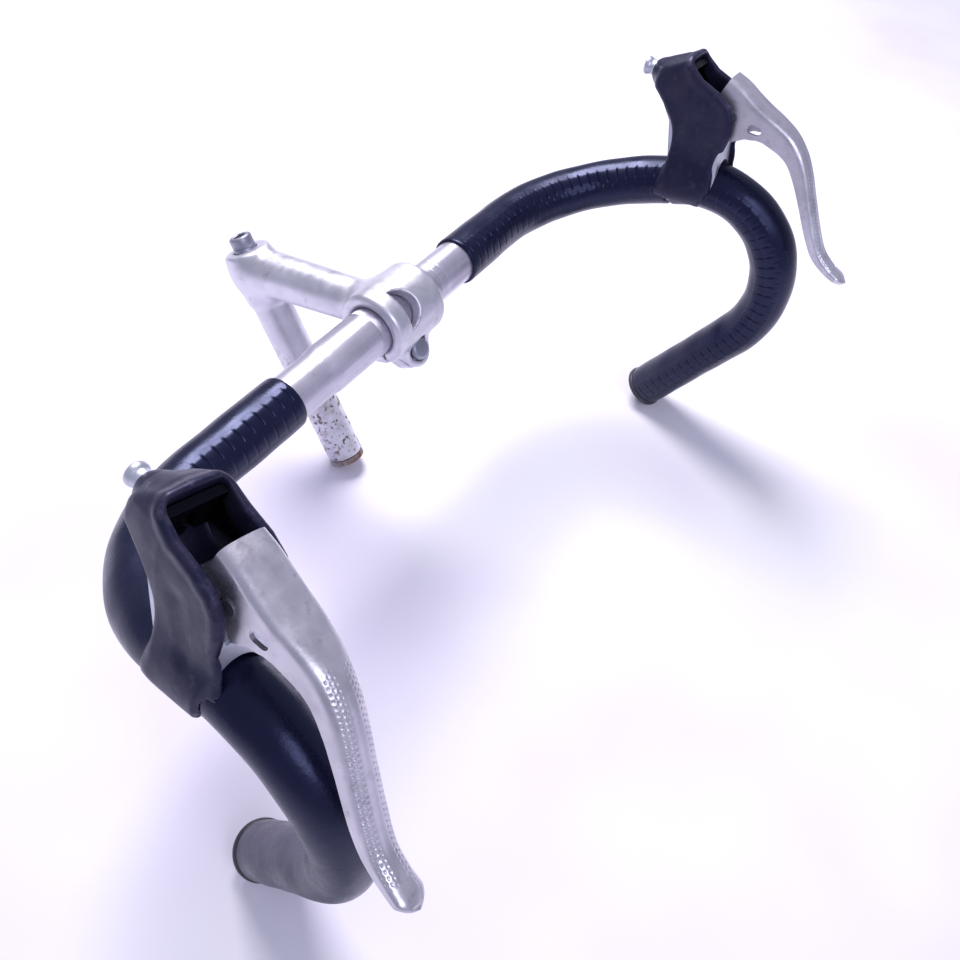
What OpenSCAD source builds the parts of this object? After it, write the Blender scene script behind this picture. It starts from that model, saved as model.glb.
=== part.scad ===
// Drop handlebar with quill stem and a pair of brake levers in rubber hoods.
// Millimetres. Origin: centre of the quill's lower end. +X is the way the
// bicycle rides, +Y is the rider's left, +Z is up from the floor it stands on.

/* [Stem] */
// Diameter of the quill
quill_d = 22.2; // [21:0.1:26]
// Length of the quill from its lower end to the extension's centreline
quill_len = 130; // [110:1:160]
// Length of the extension, quill axis to bar centre
reach = 100; // [80:1:130]
// Angle between the extension and the quill
stem_angle = 72; // [65:1:90]
// How far the quill leans back when the bar stands on the floor
quill_lean = 30.15; // [20:0.05:40]
// Diameter of the extension at the quill
extension_d = 26.5; // [22:0.5:28]
// Diameter of the extension at the bar clamp
extension_end_d = 23.5; // [20:0.5:28]
// Width of the bar clamp
clamp_w = 40; // [30:1:45]
// How far the expander bolt's head stands proud of the stem
bolt_proud = 8; // [8:1:12]

/* [Handlebar] */
// Diameter of the bar tube
bar_d = 24; // [22:0.2:26]
// Diameter of the sleeve at the bar's centre
centre_d = 26; // [25:0.2:32]
// Straight half of the tops, bar centre to bend
top_half = 122; // [90:1:140]
// How far the bar sits off centre in the clamp, towards the rider's right
bar_shift = 18; // [0:1:22]
// Radius of the bend from tops to ramp
bend_r = 76; // [60:1:90]
// Angle of the bend from tops to ramp
bend_a = 84; // [80:1:90]
// Rise of the ramp when the bar stands on the floor
ramp_rise = 19.85; // [15:0.05:30]
// Length of the straight ramp
ramp_len = 14; // [12:1:24]
// Radius of the front of the drop
hook_r = 52.4; // [48:0.1:60]
// Angle of the front of the drop
hook_a = 92; // [85:1:110]
// Radius of the lower part of the drop
drop_r = 68.5; // [50:0.1:80]
// Angle of the lower part of the drop
drop_a = 49.6; // [35:0.1:60]
// Length of the straight end of the drop
drop_len = 82; // [60:1:110]

/* [Sleeves] */
// Outer diameter of the rubber sleeves
sleeve_d = 27.4; // [26:0.1:30]
// Bare bar left free, bar centre to the left sleeve
bare_left = 75; // [60:1:90]
// Bare bar left free, bar centre to the right sleeve
bare_right = 67; // [60:1:90]

/* [Levers] */
// Turn of the left lever about the bar, positive inwards
roll_left = -9; // [-20:1:20]
// Turn of the right lever about the bar, positive inwards
roll_right = 17; // [-20:1:20]
// Aim of the left lever from the bar's flare, positive outwards
aim_left = -1; // [-8:1:4]
// Aim of the right lever from the bar's flare, positive outwards
aim_right = -6; // [-8:1:4]
// Outer width of the lever's channel at the pivot
channel_w = 20; // [18:0.5:22]
// Thickness of the channel's walls
channel_t = 1.8; // [1.4:0.1:2.4]
// Diameter of the pivot pin
pivot_d = 5; // [4:0.5:6]

/* [Hidden] */
$fn = 64;
alloy = [0.80, 0.80, 0.83];
steel = [0.62, 0.62, 0.64];
rubber = [0.12, 0.12, 0.15];

// Stem places
extension_rise = stem_angle - (90 - quill_lean);
quill_up = [-sin(quill_lean), 0, cos(quill_lean)];
extension_dir = [cos(extension_rise), 0, sin(extension_rise)];
bar_centre = quill_up * quill_len + extension_dir * reach + [0, -bar_shift, 0];
cone_h = 16;
cone_proud = 4;
bolt_d = 8;
bolt_bore_d = 9;
knuckle_h = 12;
collar_down = 20;
head_h = 10;
head_travel = 7;
head_base = knuckle_h + bolt_proud - head_h;
clamp_r = 20;
clamp_bolt_d = 6;
clamp_bolt_r = 22.4;
clamp_split_a = 65;
lug_r = 8.5;
lug_top = 3.5;
lug_bottom = -9.5;
window_a = 44;
window_at = -6.5;

// Bar places, all from the bar's centre
tube_wall = 2;
centre_len = 76;
left = [0, 1, 0];
ramp_fwd = [cos(ramp_rise), 0, sin(ramp_rise)];
ramp_dir = cos(bend_a) * left + sin(bend_a) * ramp_fwd;
bend_side = cos(bend_a) * ramp_fwd - sin(bend_a) * left;
bend_under = [sin(ramp_rise), 0, -cos(ramp_rise)];
drop_side = [0, 0, -1] - ramp_dir * (ramp_dir * [0, 0, -1]);
hook_turn = atan2(drop_side * bend_under, drop_side * bend_side);
ramp_mid = left * top_half + bend_r * (sin(bend_a) * left + (1 - cos(bend_a)) * ramp_fwd)
    + ramp_dir * (ramp_len / 2);
ramp_flare = atan2(ramp_dir[1], ramp_dir[0]);
ramp_tilt = asin(ramp_dir[2]);
sleeve_gap_a = 26;
seam_w = 1;
seam_h = 0.04;

// Lever places, in the lever's own plane: x forward, z up, from the bar's axis
pivot_at = [23, 48.7];
slot_at = [36.5, 46.5];
anchor_at = [18.5, 60.5];
ferrule_at = [-17, 55.5];
level_rise = 20.7;
lever_dip = level_rise - ramp_rise;
tongue_w = 15.2;
body_w = 25.4;
body_wall = 1.9;
hood_w = 31;
running = 0.05;
anchor_d = 6;
bush_d = 7;
band_w = 8;
band_bore = bar_d + 0.6;
band_t = 1.2;
band_at = 8;
band_ear = 20;
nut_h = 16;
seat_h = 23.4;
nut_d = 6;
strap_bolt_d = 4;

// ---- helpers ----
module in_stem() { translate(quill_up * quill_len) rotate([0, -quill_lean, 0]) children(); }
module in_clamp() {
    translate(quill_up * quill_len + extension_dir * reach) rotate([0, -extension_rise, 0]) children();
}
// On the clamp's split: x away from the bar, z along the clamp bolt
module at_split() { in_clamp() rotate([0, clamp_split_a, 0]) translate([clamp_bolt_r, 0, 0]) children(); }
module in_bar() { translate(bar_centre) children(); }
module on_side(side) { mirror([0, side < 0 ? 1 : 0, 0]) children(); }
module half(side) { in_bar() on_side(side) children(); }

// The half bar's path runs along local +Z and bends towards local +X
module tops_start() { rotate([0, -ramp_rise, 0]) rotate([-90, 0, 0]) children(); }
module past_bend(r, a) { translate([r - r * cos(a), 0, r * sin(a)]) rotate([0, a, 0]) children(); }
module ramp_start() { tops_start() translate([0, 0, top_half]) past_bend(bend_r, bend_a) children(); }
module hook_start() { ramp_start() translate([0, 0, ramp_len]) rotate([0, 0, hook_turn]) children(); }
module drop_start() { hook_start() past_bend(hook_r, hook_a) children(); }
module drop_end_start() { drop_start() past_bend(drop_r, drop_a) children(); }

module ring(outer, inner) {
    difference() {
        circle(d = outer);
        if (inner > 0) circle(d = inner);
    }
}
module pipe(length, outer, inner) {
    difference() {
        cylinder(h = length, d = outer);
        if (inner > 0) translate([0, 0, -1]) cylinder(h = length + 2, d = inner);
    }
}
module elbow(r, a, outer, inner, from = 0) {
    translate([r, 0, 0]) rotate([0, 0, 180]) rotate([90, 0, 0]) rotate([0, 0, from])
        rotate_extrude(angle = a - from) translate([r, 0]) ring(outer, inner);
}
// Thin raised ring that joins two stretches of the same tube
module seam(outer, inner) {
    translate([0, 0, -seam_w / 2]) pipe(seam_w, outer + seam_h, inner - seam_h);
}
// The ramp's middle turned about the bar by the lever's roll
module rolled(side) {
    half(side) translate(ramp_mid) rotate(a = side > 0 ? roll_left : roll_right, v = ramp_dir) children();
}
// Lever plane: x forward, y outwards, z up
module in_lever(side) {
    rolled(side) rotate([0, 0, ramp_flare + (side > 0 ? aim_left : aim_right)]) rotate([0, lever_dip, 0]) children();
}
// Clamp band's place: x along the bar, z away from it
module at_band(side) {
    rolled(side) rotate([0, 0, ramp_flare]) rotate([0, -ramp_tilt, 0]) translate([band_at, 0, 0]) children();
}
// A side outline given a thickness across the lever, centred on y
module slab(points, w) { rotate([90, 0, 0]) linear_extrude(height = w, center = true) polygon(points); }
module cross_pin(at, d, length) {
    translate([at[0], 0, at[1]]) rotate([90, 0, 0]) cylinder(h = length, d = d, center = true);
}

// ---- stem ----
module stem() {
    color(alloy) difference() {
        union() {
            // quill and knuckle
            in_stem() translate([0, 0, -quill_len]) cylinder(h = quill_len, d = quill_d);
            in_stem() translate([0, 0, -collar_down]) cylinder(h = knuckle_h + collar_down, d = quill_d + 2.4);
            // extension
            in_clamp() rotate([0, -90, 0]) cylinder(h = reach, d1 = extension_end_d, d2 = extension_d);
            // bar clamp with its lug
            in_clamp() rotate([90, 0, 0]) cylinder(h = clamp_w, r = clamp_r, center = true);
            at_split() translate([0, 0, lug_bottom]) cylinder(h = lug_top - lug_bottom, r = lug_r);
            at_split() translate([-5, 0, (lug_top + lug_bottom) / 2])
                cube([12, 22, lug_top - lug_bottom], center = true);
        }
        // bolt bore, counterbore and the cone's seat
        in_stem() translate([0, 0, -quill_len - 1]) cylinder(h = quill_len + 40, d = bolt_bore_d);
        in_stem() translate([0, 0, head_base - head_travel]) cylinder(h = 24, d = 14.4);
        in_stem() translate([0, 0, -quill_len]) translate([0, 0, -0.01])
            cylinder(h = cone_h + 0.3, d1 = 19.2, d2 = 13);
        // bar bore and the slit that lets the clamp close
        in_clamp() rotate([90, 0, 0]) cylinder(h = clamp_w + 2, d = centre_d, center = true);
        at_split() cube([24, clamp_w + 2, 2], center = true);
        // clamp bolt and its sunk head
        at_split() cylinder(h = 40, d = clamp_bolt_d + 0.2, center = true);
        at_split() translate([0, 0, lug_top - 2]) cylinder(h = 10, d = 10);
        // window in the front of the clamp
        in_clamp() rotate([0, -window_a, 0]) translate([16, window_at, 0]) rotate([0, 90, 0])
            cylinder(h = 12, d = 16, center = true);
    }
}

module expander_cone() {
    color(steel) in_stem() translate([0, 0, -quill_len]) difference() {
        union() {
            translate([0, 0, 0]) cylinder(h = cone_h, d1 = 18.6, d2 = 12.4);
            translate([0, 0, -cone_proud]) cylinder(h = cone_proud - 0.3, d = quill_d - 0.4);
            translate([0, 0, -1]) cylinder(h = 1.5, d = 18.6);
        }
        translate([0, 0, -cone_proud - 1]) cylinder(h = cone_h + cone_proud + 2, d = bolt_d + 2 * running);
    }
}

module expander_bolt() {
    color(steel) in_stem() difference() {
        union() {
            translate([0, 0, -quill_len - cone_proud + 1])
                cylinder(h = quill_len + cone_proud - 1 + head_base, d = bolt_d);
            translate([0, 0, head_base]) cylinder(h = head_h, d = 13);
        }
        translate([0, 0, head_base + head_h - 6]) cylinder(h = 7, d = 6.9, $fn = 6);
    }
}

module clamp_bolt() {
    color(steel) at_split() {
        translate([0, 0, lug_bottom - 4]) cylinder(h = lug_top - 2 - lug_bottom + 4, d = clamp_bolt_d);
        translate([0, 0, lug_top - 2]) cylinder(h = 4, d = 9);
    }
}

module clamp_nut() {
    color(steel) at_split() translate([0, 0, lug_bottom - 4]) difference() {
        cylinder(h = 4, d = 11.6, $fn = 6);
        cylinder(h = 9, d = clamp_bolt_d, center = true);
    }
}

// ---- handlebar ----
module half_tube(outer, inner) {
    tops_start() pipe(top_half, outer, inner);
    tops_start() seam(outer, inner);
    tops_start() translate([0, 0, top_half]) elbow(bend_r, bend_a, outer, inner);
    tops_start() translate([0, 0, top_half]) seam(outer, inner);
    ramp_start() pipe(ramp_len, outer, inner);
    ramp_start() seam(outer, inner);
    hook_start() elbow(hook_r, hook_a, outer, inner);
    hook_start() seam(outer, inner);
    drop_start() elbow(drop_r, drop_a, outer, inner);
    drop_start() seam(outer, inner);
    drop_end_start() pipe(drop_len, outer, inner);
    drop_end_start() seam(outer, inner);
}

module handlebar() {
    color(alloy) union() for (side = [-1, 1]) half(side) half_tube(bar_d, bar_d - 2 * tube_wall);
}

module centre_sleeve() {
    color(alloy) in_bar() rotate([90, 0, 0]) difference() {
        union() {
            cylinder(h = centre_len, d = centre_d, center = true);
            for (end = [0, 1]) mirror([0, 0, end]) translate([0, 0, centre_len / 2 - 0.5])
                cylinder(h = 8, d1 = centre_d, d2 = bar_d + 0.3);
        }
        cylinder(h = centre_len + 20, d = bar_d, center = true);
    }
}

module upper_sleeve(side) {
    bare = side > 0 ? bare_left : bare_right;
    color(rubber) half(side) {
        tops_start() translate([0, 0, bare]) pipe(top_half - bare, sleeve_d, bar_d);
        tops_start() translate([0, 0, top_half]) elbow(bend_r, bend_a, sleeve_d, bar_d);
        tops_start() translate([0, 0, top_half]) seam(sleeve_d, bar_d);
    }
}

module lower_sleeve(side) {
    color(rubber) half(side) {
        hook_start() elbow(hook_r, hook_a, sleeve_d, bar_d, sleeve_gap_a);
        drop_start() elbow(drop_r, drop_a, sleeve_d, bar_d);
        drop_start() seam(sleeve_d, bar_d);
        drop_end_start() pipe(drop_len - 1, sleeve_d, bar_d);
        drop_end_start() seam(sleeve_d, bar_d);
    }
}

module end_plug(side) {
    color(rubber) half(side) drop_end_start() {
        translate([0, 0, drop_len - 18]) cylinder(h = 18, d = bar_d - 2 * tube_wall);
        translate([0, 0, drop_len]) cylinder(h = 3, d = sleeve_d + 1.6);
        translate([0, 0, drop_len - 1]) pipe(1, sleeve_d + 1.6, bar_d);
    }
}

// ---- lever bodies ----
// Side outline of the cast body, from the foot up the back, over the roof and down the rim
body_side = [[-2, 4], [-4, 16], [-10, 36], [-19, 47], [-22, 49.5], [-22, 58.5], [-8, 66.5], [-5, 65],
    [-6.5, 60.5], [-1, 54.5], [12, 48.5], [14.5, 44], [15.5, 36], [22, 34], [26, 16], [26, 8]];
body_room = [[-1, 24], [-7, 37], [-14, 46], [-14, 49.5], [-9, 50], [-8, 64], [30, 76], [40, 36], [40, 33], [18, 31],
    [18, 24]];

module lever_body(side) {
    color(alloy) difference() {
        union() {
            in_lever(side) difference() {
                slab(body_side, body_w);
                slab(body_room, body_w - 2 * body_wall);
            }
            // tongue between the channel's walls, with the pivot eye
            in_lever(side) slab([[14, 26], [14, 42], [18, 48], [23, 53.5], [28, 51], [28.5, 46], [25, 36], [22, 26]],
                tongue_w);
        }
        // saddle on the bar, with a groove for the band
        at_band(side) rotate([0, 90, 0]) cylinder(h = 90, d = bar_d, center = true);
        at_band(side) rotate([0, 90, 0]) cylinder(h = band_w + 1, d = band_bore + 2 * band_t + 0.6, center = true);
        in_lever(side) cross_pin(pivot_at, pivot_d, 40);
        in_lever(side) slab([[16, 24], [14, 60], [30, 60], [30, 42], [20, 30]], 9);
        // ferrule seat
        in_lever(side) translate([-30, 0, ferrule_at[1]]) rotate([0, 90, 0]) cylinder(h = 40, d = 6.4);
        // room for the band's ears, the bolt's shank and its head
        at_band(side) translate([0, 0, band_ear / 2]) cube([band_w + 1, 17, band_ear + 0.8], center = true);
        at_band(side) cylinder(h = 60, d = strap_bolt_d + 0.6);
        at_band(side) translate([0, 0, seat_h]) cylinder(h = 12, d = 8);
    }
}

module hood(side) {
    hood_side = [[-3, -2], [-6, 8], [-12.5, 36], [-21, 46.5], [-24.8, 49], [-24.5, 61], [-8, 70], [-2.5, 68.5],
        [-3.5, 62], [1, 57], [14, 51], [19, 46], [24.5, 38], [24, 32], [29, 18], [29, 4], [20, 1], [8, -1]];
    color(rubber) difference() {
        in_lever(side) slab(hood_side, hood_w);
        in_lever(side) slab(body_side, body_w);
        in_lever(side) slab([[-6, 66], [-6, 50], [8, 40], [14, 30], [22, 28], [40, 20], [40, 80], [-2, 80]], body_w);
        in_lever(side) translate([-40, 0, ferrule_at[1]]) rotate([0, 90, 0]) cylinder(h = 40, d = 13.4);
        half(side) tops_start() translate([0, 0, top_half]) elbow(bend_r, bend_a, sleeve_d, 0);
        half(side) ramp_start() translate([0, 0, -2]) cylinder(h = ramp_len + 4, d = sleeve_d + 1);
        half(side) hook_start() elbow(hook_r, 90, sleeve_d + 0.2, 0);
    }
}

module clamp_band(side) {
    color(steel) at_band(side) difference() {
        union() {
            rotate([0, 90, 0]) cylinder(h = band_w, d = band_bore + 2 * band_t, center = true);
            translate([0, 0, band_ear / 2]) cube([band_w, 12, band_ear], center = true);
        }
        rotate([0, 90, 0]) cylinder(h = band_w + 2, d = band_bore, center = true);
        translate([0, 0, band_ear / 2 + 1]) cube([band_w + 2, 12 - 2 * band_t, band_ear + 4], center = true);
        translate([0, 0, nut_h]) rotate([90, 0, 0]) cylinder(h = 20, d = nut_d, center = true);
    }
}

module band_nut(side) {
    color(steel) at_band(side) difference() {
        translate([0, 0, nut_h]) rotate([90, 0, 0]) cylinder(h = 14, d = nut_d, center = true);
        cylinder(h = 60, d = strap_bolt_d);
    }
}

module band_bolt(side) {
    color(steel) at_band(side) {
        translate([0, 0, 13]) cylinder(h = seat_h - 13, d = strap_bolt_d);
        translate([0, 0, seat_h]) difference() {
            cylinder(h = 3.5, d = 7);
            translate([0, 0, 1.5]) cylinder(h = 3, d = 4.4, $fn = 6);
        }
    }
}

module cable_ferrule(side) {
    color(alloy) in_lever(side) translate([-36, 0, ferrule_at[1]]) rotate([0, 90, 0]) difference() {
        union() {
            cylinder(h = 20, d = 6.2);
            cylinder(h = 2, d = 9.4);
            translate([0, 0, 2]) cylinder(h = 12, d1 = 7.6, d2 = 12.6);
        }
        translate([0, 0, -1]) cylinder(h = 14, d = 5.2);
        cylinder(h = 30, d = 2.4);
    }
}

// ---- lever blades ----
// Outer line of the blade, head to tip, and the depth of its channel along it
blade_outer = [[14.9, 68], [22.5, 65.4], [31.5, 61], [40, 57.6], [48.5, 54.5], [58, 50], [66.6, 43],
    [74, 33.5], [82, 20.3], [90.5, 6.5], [98, -3.6], [106, -9.6], [113, -12.6], [117, -16]];
blade_inner = [[116, -19.5], [112, -19.5], [104, -17], [96.5, -11.5], [89, -3], [80, 10.5], [72, 23], [65, 31],
    [58, 37], [50, 40.8], [42, 42.5], [33, 41], [27.5, 38.6], [24.3, 36], [20.5, 42], [20.5, 50], [17.5, 53.5], [10.2, 56.8]];
module lever_blade(side) {
    color(alloy) in_lever(side) difference() {
        union() {
            slab(concat(blade_outer, blade_inner), channel_w);
        }
        // channel open to the bar
        slab([[8, 60], [13.4, 64.6], [22, 63.2], [31, 58.8], [39.5, 55.4], [48, 52.3], [57, 47.8], [65, 41],
            [72.4, 31.6], [80.4, 18.4], [89, 4.6], [96.4, -5.4], [98, -9], [94, -14], [70, 10], [20, 30], [0, 50]],
            channel_w - 2 * channel_t);
        // narrower grip
        for (s = [-1, 1]) translate([0, s * (channel_w / 2 + 6.6), 0])
            slab([[62, 60], [70, 38], [86, 13], [101, -7], [120, -12], [120, -30], [90, -20], [50, 30]], 16);
        cross_pin(pivot_at, bush_d, 40);
        translate([slot_at[0] - 1.5, 0, 0]) cross_pin([0, slot_at[1]], 4.6, 40);
        translate([slot_at[0] + 1.5, 0, 0]) cross_pin([0, slot_at[1]], 4.6, 40);
        translate([slot_at[0], 0, slot_at[1]]) cube([3, 40, 4.6], center = true);
        cross_pin(anchor_at, anchor_d + 2 * running, channel_w - 1.6);
    }
}

module pivot_pin(side) { color(steel) in_lever(side) cross_pin(pivot_at, pivot_d, channel_w + 0.4); }

module pivot_bushes(side) {
    color([0.75, 0.62, 0.35]) in_lever(side) difference() {
        cross_pin(pivot_at, bush_d, channel_w);
        cross_pin(pivot_at, pivot_d + 2 * running, channel_w + 2);
        cube([200, channel_w - 2 * channel_t, 200], center = true);
    }
}

module cable_anchor(side) {
    color(steel) in_lever(side) difference() {
        cross_pin(anchor_at, anchor_d, channel_w - 2);
        translate([anchor_at[0] - 10, 0, anchor_at[1]]) rotate([0, 90, 0]) cylinder(h = 20, d = 2.2);
        translate([anchor_at[0] + 0.5, 0, anchor_at[1]]) rotate([0, 90, 0]) cylinder(h = 10, d = 4.2);
    }
}

stem();
expander_cone();
expander_bolt();
clamp_bolt();
clamp_nut();
handlebar();
centre_sleeve();
upper_sleeve(1);  // upper_sleeve_left
upper_sleeve(-1);  // upper_sleeve_right
lower_sleeve(1);  // lower_sleeve_left
lower_sleeve(-1);  // lower_sleeve_right
end_plug(1);  // end_plug_left
end_plug(-1);  // end_plug_right
lever_body(1);  // lever_body_left
lever_body(-1);  // lever_body_right
hood(1);  // hood_left
hood(-1);  // hood_right
clamp_band(1);  // clamp_band_left
clamp_band(-1);  // clamp_band_right
band_bolt(1);  // band_bolt_left
band_bolt(-1);  // band_bolt_right
band_nut(1);  // band_nut_left
band_nut(-1);  // band_nut_right
cable_ferrule(1);  // cable_ferrule_left
cable_ferrule(-1);  // cable_ferrule_right
lever_blade(1);  // lever_blade_left
lever_blade(-1);  // lever_blade_right
pivot_pin(1);  // pivot_pin_left
pivot_pin(-1);  // pivot_pin_right
pivot_bushes(1);  // pivot_bushes_left
pivot_bushes(-1);  // pivot_bushes_right
cable_anchor(1);  // cable_anchor_left
cable_anchor(-1);  // cable_anchor_right
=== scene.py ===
"""Looks of a drop handlebar on a quill stem with two hooded brake levers.

Shapes are worked out in millimetres in the part's own frame (+X forward, +Y rider's
left, +Z up) and turned into metres when a mesh is made.
"""

import math

import bmesh
import bpy
import numpy as np
from mathutils import Matrix, Vector


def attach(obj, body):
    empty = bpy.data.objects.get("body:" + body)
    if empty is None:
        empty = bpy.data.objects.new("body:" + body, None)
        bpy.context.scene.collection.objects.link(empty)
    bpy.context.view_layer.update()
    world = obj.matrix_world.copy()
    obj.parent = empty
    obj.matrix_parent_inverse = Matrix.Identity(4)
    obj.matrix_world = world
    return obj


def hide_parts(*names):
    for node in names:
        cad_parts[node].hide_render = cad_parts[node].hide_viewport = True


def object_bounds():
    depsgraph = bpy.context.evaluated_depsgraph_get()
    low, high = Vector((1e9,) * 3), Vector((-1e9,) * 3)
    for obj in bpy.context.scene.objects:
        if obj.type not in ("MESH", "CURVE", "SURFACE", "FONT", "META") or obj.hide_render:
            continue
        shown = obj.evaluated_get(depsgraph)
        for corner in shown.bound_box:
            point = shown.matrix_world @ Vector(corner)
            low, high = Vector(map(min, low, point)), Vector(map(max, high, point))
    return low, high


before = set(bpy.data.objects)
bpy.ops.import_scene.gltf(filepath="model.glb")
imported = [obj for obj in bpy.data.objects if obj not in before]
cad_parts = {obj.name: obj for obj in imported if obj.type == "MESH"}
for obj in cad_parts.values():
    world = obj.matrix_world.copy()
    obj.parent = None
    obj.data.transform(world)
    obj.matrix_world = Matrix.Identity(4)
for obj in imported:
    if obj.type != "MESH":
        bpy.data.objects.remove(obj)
cad_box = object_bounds()
MM = 0.001
SIDES = {"left": 1, "right": -1}
rng = np.random.default_rng(7)

# ---- driving sizes, mm and degrees ----
QUILL_LEN, QUILL_LEAN, REACH, STEM_ANGLE = 130.0, 30.15, 100.0, 72.0
QUILL_R, EXTENSION_R, EXTENSION_END_R = 11.1, 13.3, 11.8
CLAMP_HALF, CLAMP_R, BORE_R = 20.0, 20.0, 13.0
SPLIT_A, CLAMP_BOLT_R, LUG_R, LUG_TOP = 65.0, 22.4, 9.8, 4.0
COLLAR_DOWN, STEM_TOP, HEAD_BASE, HEAD_H = 20.0, 12.0, 10.0, 10.0
WINDOW_A, WINDOW_Y = -38.0, -9.0
BAR_SHIFT, BAR_R, SLEEVE_R = 18.0, 12.0, 13.7
TOP_HALF, BEND_R, BEND_A = 122.0, 76.0, 84.0
RAMP_RISE, RAMP_LEN = 19.85, 14.0
HOOK_R, HOOK_A, DROP_R, DROP_A, DROP_LEN = 52.4, 92.0, 68.5, 49.6, 82.0
BARE = {"left": 75.0, "right": 67.0}
ROLL = {"left": -9.0, "right": 17.0}
AIM = {"left": -1.0, "right": -6.0}
LEVER_DIP = 20.7 - RAMP_RISE
PIVOT, SLOT = (23.0, 48.7), (36.5, 46.5)
FERRULE_X, FERRULE_Z = -36.0, 55.5


# ---- places: 4x4 matrices in mm ----
def move(x=0.0, y=0.0, z=0.0):
    m = np.eye(4)
    m[:3, 3] = x, y, z
    return m


def turn(axis, degrees):
    m = np.eye(4)
    m[:3, :3] = np.array(Matrix.Rotation(math.radians(degrees), 3, Vector(axis)))
    return m


def mirror_y(side):
    return np.diag([1.0, float(side), 1.0, 1.0])


RISE = STEM_ANGLE - (90 - QUILL_LEAN)
IN_STEM = turn((0, 1, 0), -QUILL_LEAN) @ move(z=QUILL_LEN)
IN_CLAMP = move(*IN_STEM[:3, 3]) @ turn((0, 1, 0), -RISE) @ move(REACH)
IN_SPLIT = IN_CLAMP @ turn((0, 1, 0), SPLIT_A) @ move(CLAMP_BOLT_R)
IN_BAR = move(*IN_CLAMP[:3, 3]) @ move(y=-BAR_SHIFT)
TOPS_START = turn((0, 1, 0), -RAMP_RISE) @ turn((1, 0, 0), -90)


def past_bend(r, a):
    rad = math.radians(a)
    return move(r - r * math.cos(rad), 0, r * math.sin(rad)) @ turn((0, 1, 0), a)


RAMP_START = TOPS_START @ move(z=TOP_HALF) @ past_bend(BEND_R, BEND_A)
RAMP_DIR = RAMP_START[:3, 2]
RAMP_MID = (RAMP_START @ move(z=RAMP_LEN / 2))[:3, 3]
DOWN = np.array([0, 0, -1.0]) - RAMP_DIR * -RAMP_DIR[2]
HOOK_TURN = math.degrees(math.atan2(DOWN @ RAMP_START[:3, 1], DOWN @ RAMP_START[:3, 0]))
HOOK_START = RAMP_START @ move(z=RAMP_LEN) @ turn((0, 0, 1), HOOK_TURN)
DROP_START = HOOK_START @ past_bend(HOOK_R, HOOK_A)
END_START = DROP_START @ past_bend(DROP_R, DROP_A)


def half_bar(side):
    return IN_BAR @ mirror_y(SIDES[side])


def in_lever(side):
    """Lever's own plane: x forward, y outwards, z up, from the bar's axis."""
    flare = math.degrees(math.atan2(RAMP_DIR[1], RAMP_DIR[0]))
    return (half_bar(side) @ move(*RAMP_MID) @ turn(RAMP_DIR, ROLL[side])
            @ turn((0, 0, 1), flare + AIM[side]) @ turn((0, 1, 0), LEVER_DIP))


def stretch(start, kind, length, r=0.0):
    """Part of the bar's path: where it starts, how it runs and how long it is."""
    return dict(start=start, kind=kind, length=length, r=r)


UPPER = [stretch(TOPS_START, "line", TOP_HALF),
         stretch(TOPS_START @ move(z=TOP_HALF), "arc", BEND_R * math.radians(BEND_A), BEND_R)]
LOWER = [stretch(HOOK_START, "arc", HOOK_R * math.radians(HOOK_A), HOOK_R),
         stretch(DROP_START, "arc", DROP_R * math.radians(DROP_A), DROP_R),
         stretch(END_START, "line", DROP_LEN)]
RAMP = [stretch(RAMP_START, "line", RAMP_LEN)]


def along(path, s):
    """Frame on a path at distance s: x to the inside of the bend, z along."""
    for part in path:
        if s <= part["length"] or part is path[-1]:
            if part["kind"] == "line":
                return part["start"] @ move(z=s)
            return part["start"] @ past_bend(part["r"], math.degrees(s / part["r"]))
        s -= part["length"]


def length_of(path):
    return sum(part["length"] for part in path)


# ---- meshes ----
def shift_points(points, m):
    p = np.asarray(points, float)
    return p @ m[:3, :3].T + m[:3, 3]


def make_piece(name, verts, faces, body, place=None, material=None, replaced=(), sharp=40):
    """A named mesh piece riding on a body."""
    place = np.eye(4) if place is None else place
    world = shift_points(verts, place) * MM
    if np.linalg.det(place[:3, :3]) < 0:
        faces = [tuple(reversed(f)) for f in faces]
    mesh = bpy.data.meshes.new(name)
    mesh.from_pydata([tuple(v) for v in world], [], [tuple(int(i) for i in f) for f in faces])
    mesh.validate()
    mesh.polygons.foreach_set("use_smooth", [True] * len(mesh.polygons))
    mesh.set_sharp_from_angle(angle=math.radians(sharp))
    obj = bpy.data.objects.new(name, mesh)
    bpy.context.scene.collection.objects.link(obj)
    if material:
        mesh.materials.append(material)
    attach(obj, body)
    if replaced:
        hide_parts(*replaced)
    return obj


def grid_faces(rows, cols, wrap_rows=False, wrap_cols=True):
    faces = []
    for i in range(rows if wrap_rows else rows - 1):
        for j in range(cols if wrap_cols else cols - 1):
            a, b = i * cols + j, i * cols + (j + 1) % cols
            c, d = ((i + 1) % rows) * cols + (j + 1) % cols, ((i + 1) % rows) * cols + j
            faces.append((a, b, c, d))
    return faces


def ring_tube(path, stations, radii, angles):
    """Closed rings along a path: radii has one row of radii per station."""
    verts = []
    for s, row in zip(stations, radii):
        f = along(path, s)
        ring = np.stack([row * np.cos(angles), row * np.sin(angles), np.zeros_like(angles)], 1)
        verts.append(shift_points(ring, f))
    return np.vstack(verts), grid_faces(len(stations), len(angles), wrap_rows=True)


def lathe(profile, count=48):
    """Turned solid about z from (radius, height) points, closed at both ends."""
    angles = np.arange(count) * 2 * math.pi / count
    rows = [np.stack([r * np.cos(angles), r * np.sin(angles), np.full(count, z)], 1) for r, z in profile]
    faces = grid_faces(len(profile), count)
    last = (len(profile) - 1) * count
    faces += [tuple(range(count - 1, -1, -1)), tuple(last + i for i in range(count))]
    return np.vstack(rows), faces


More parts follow.
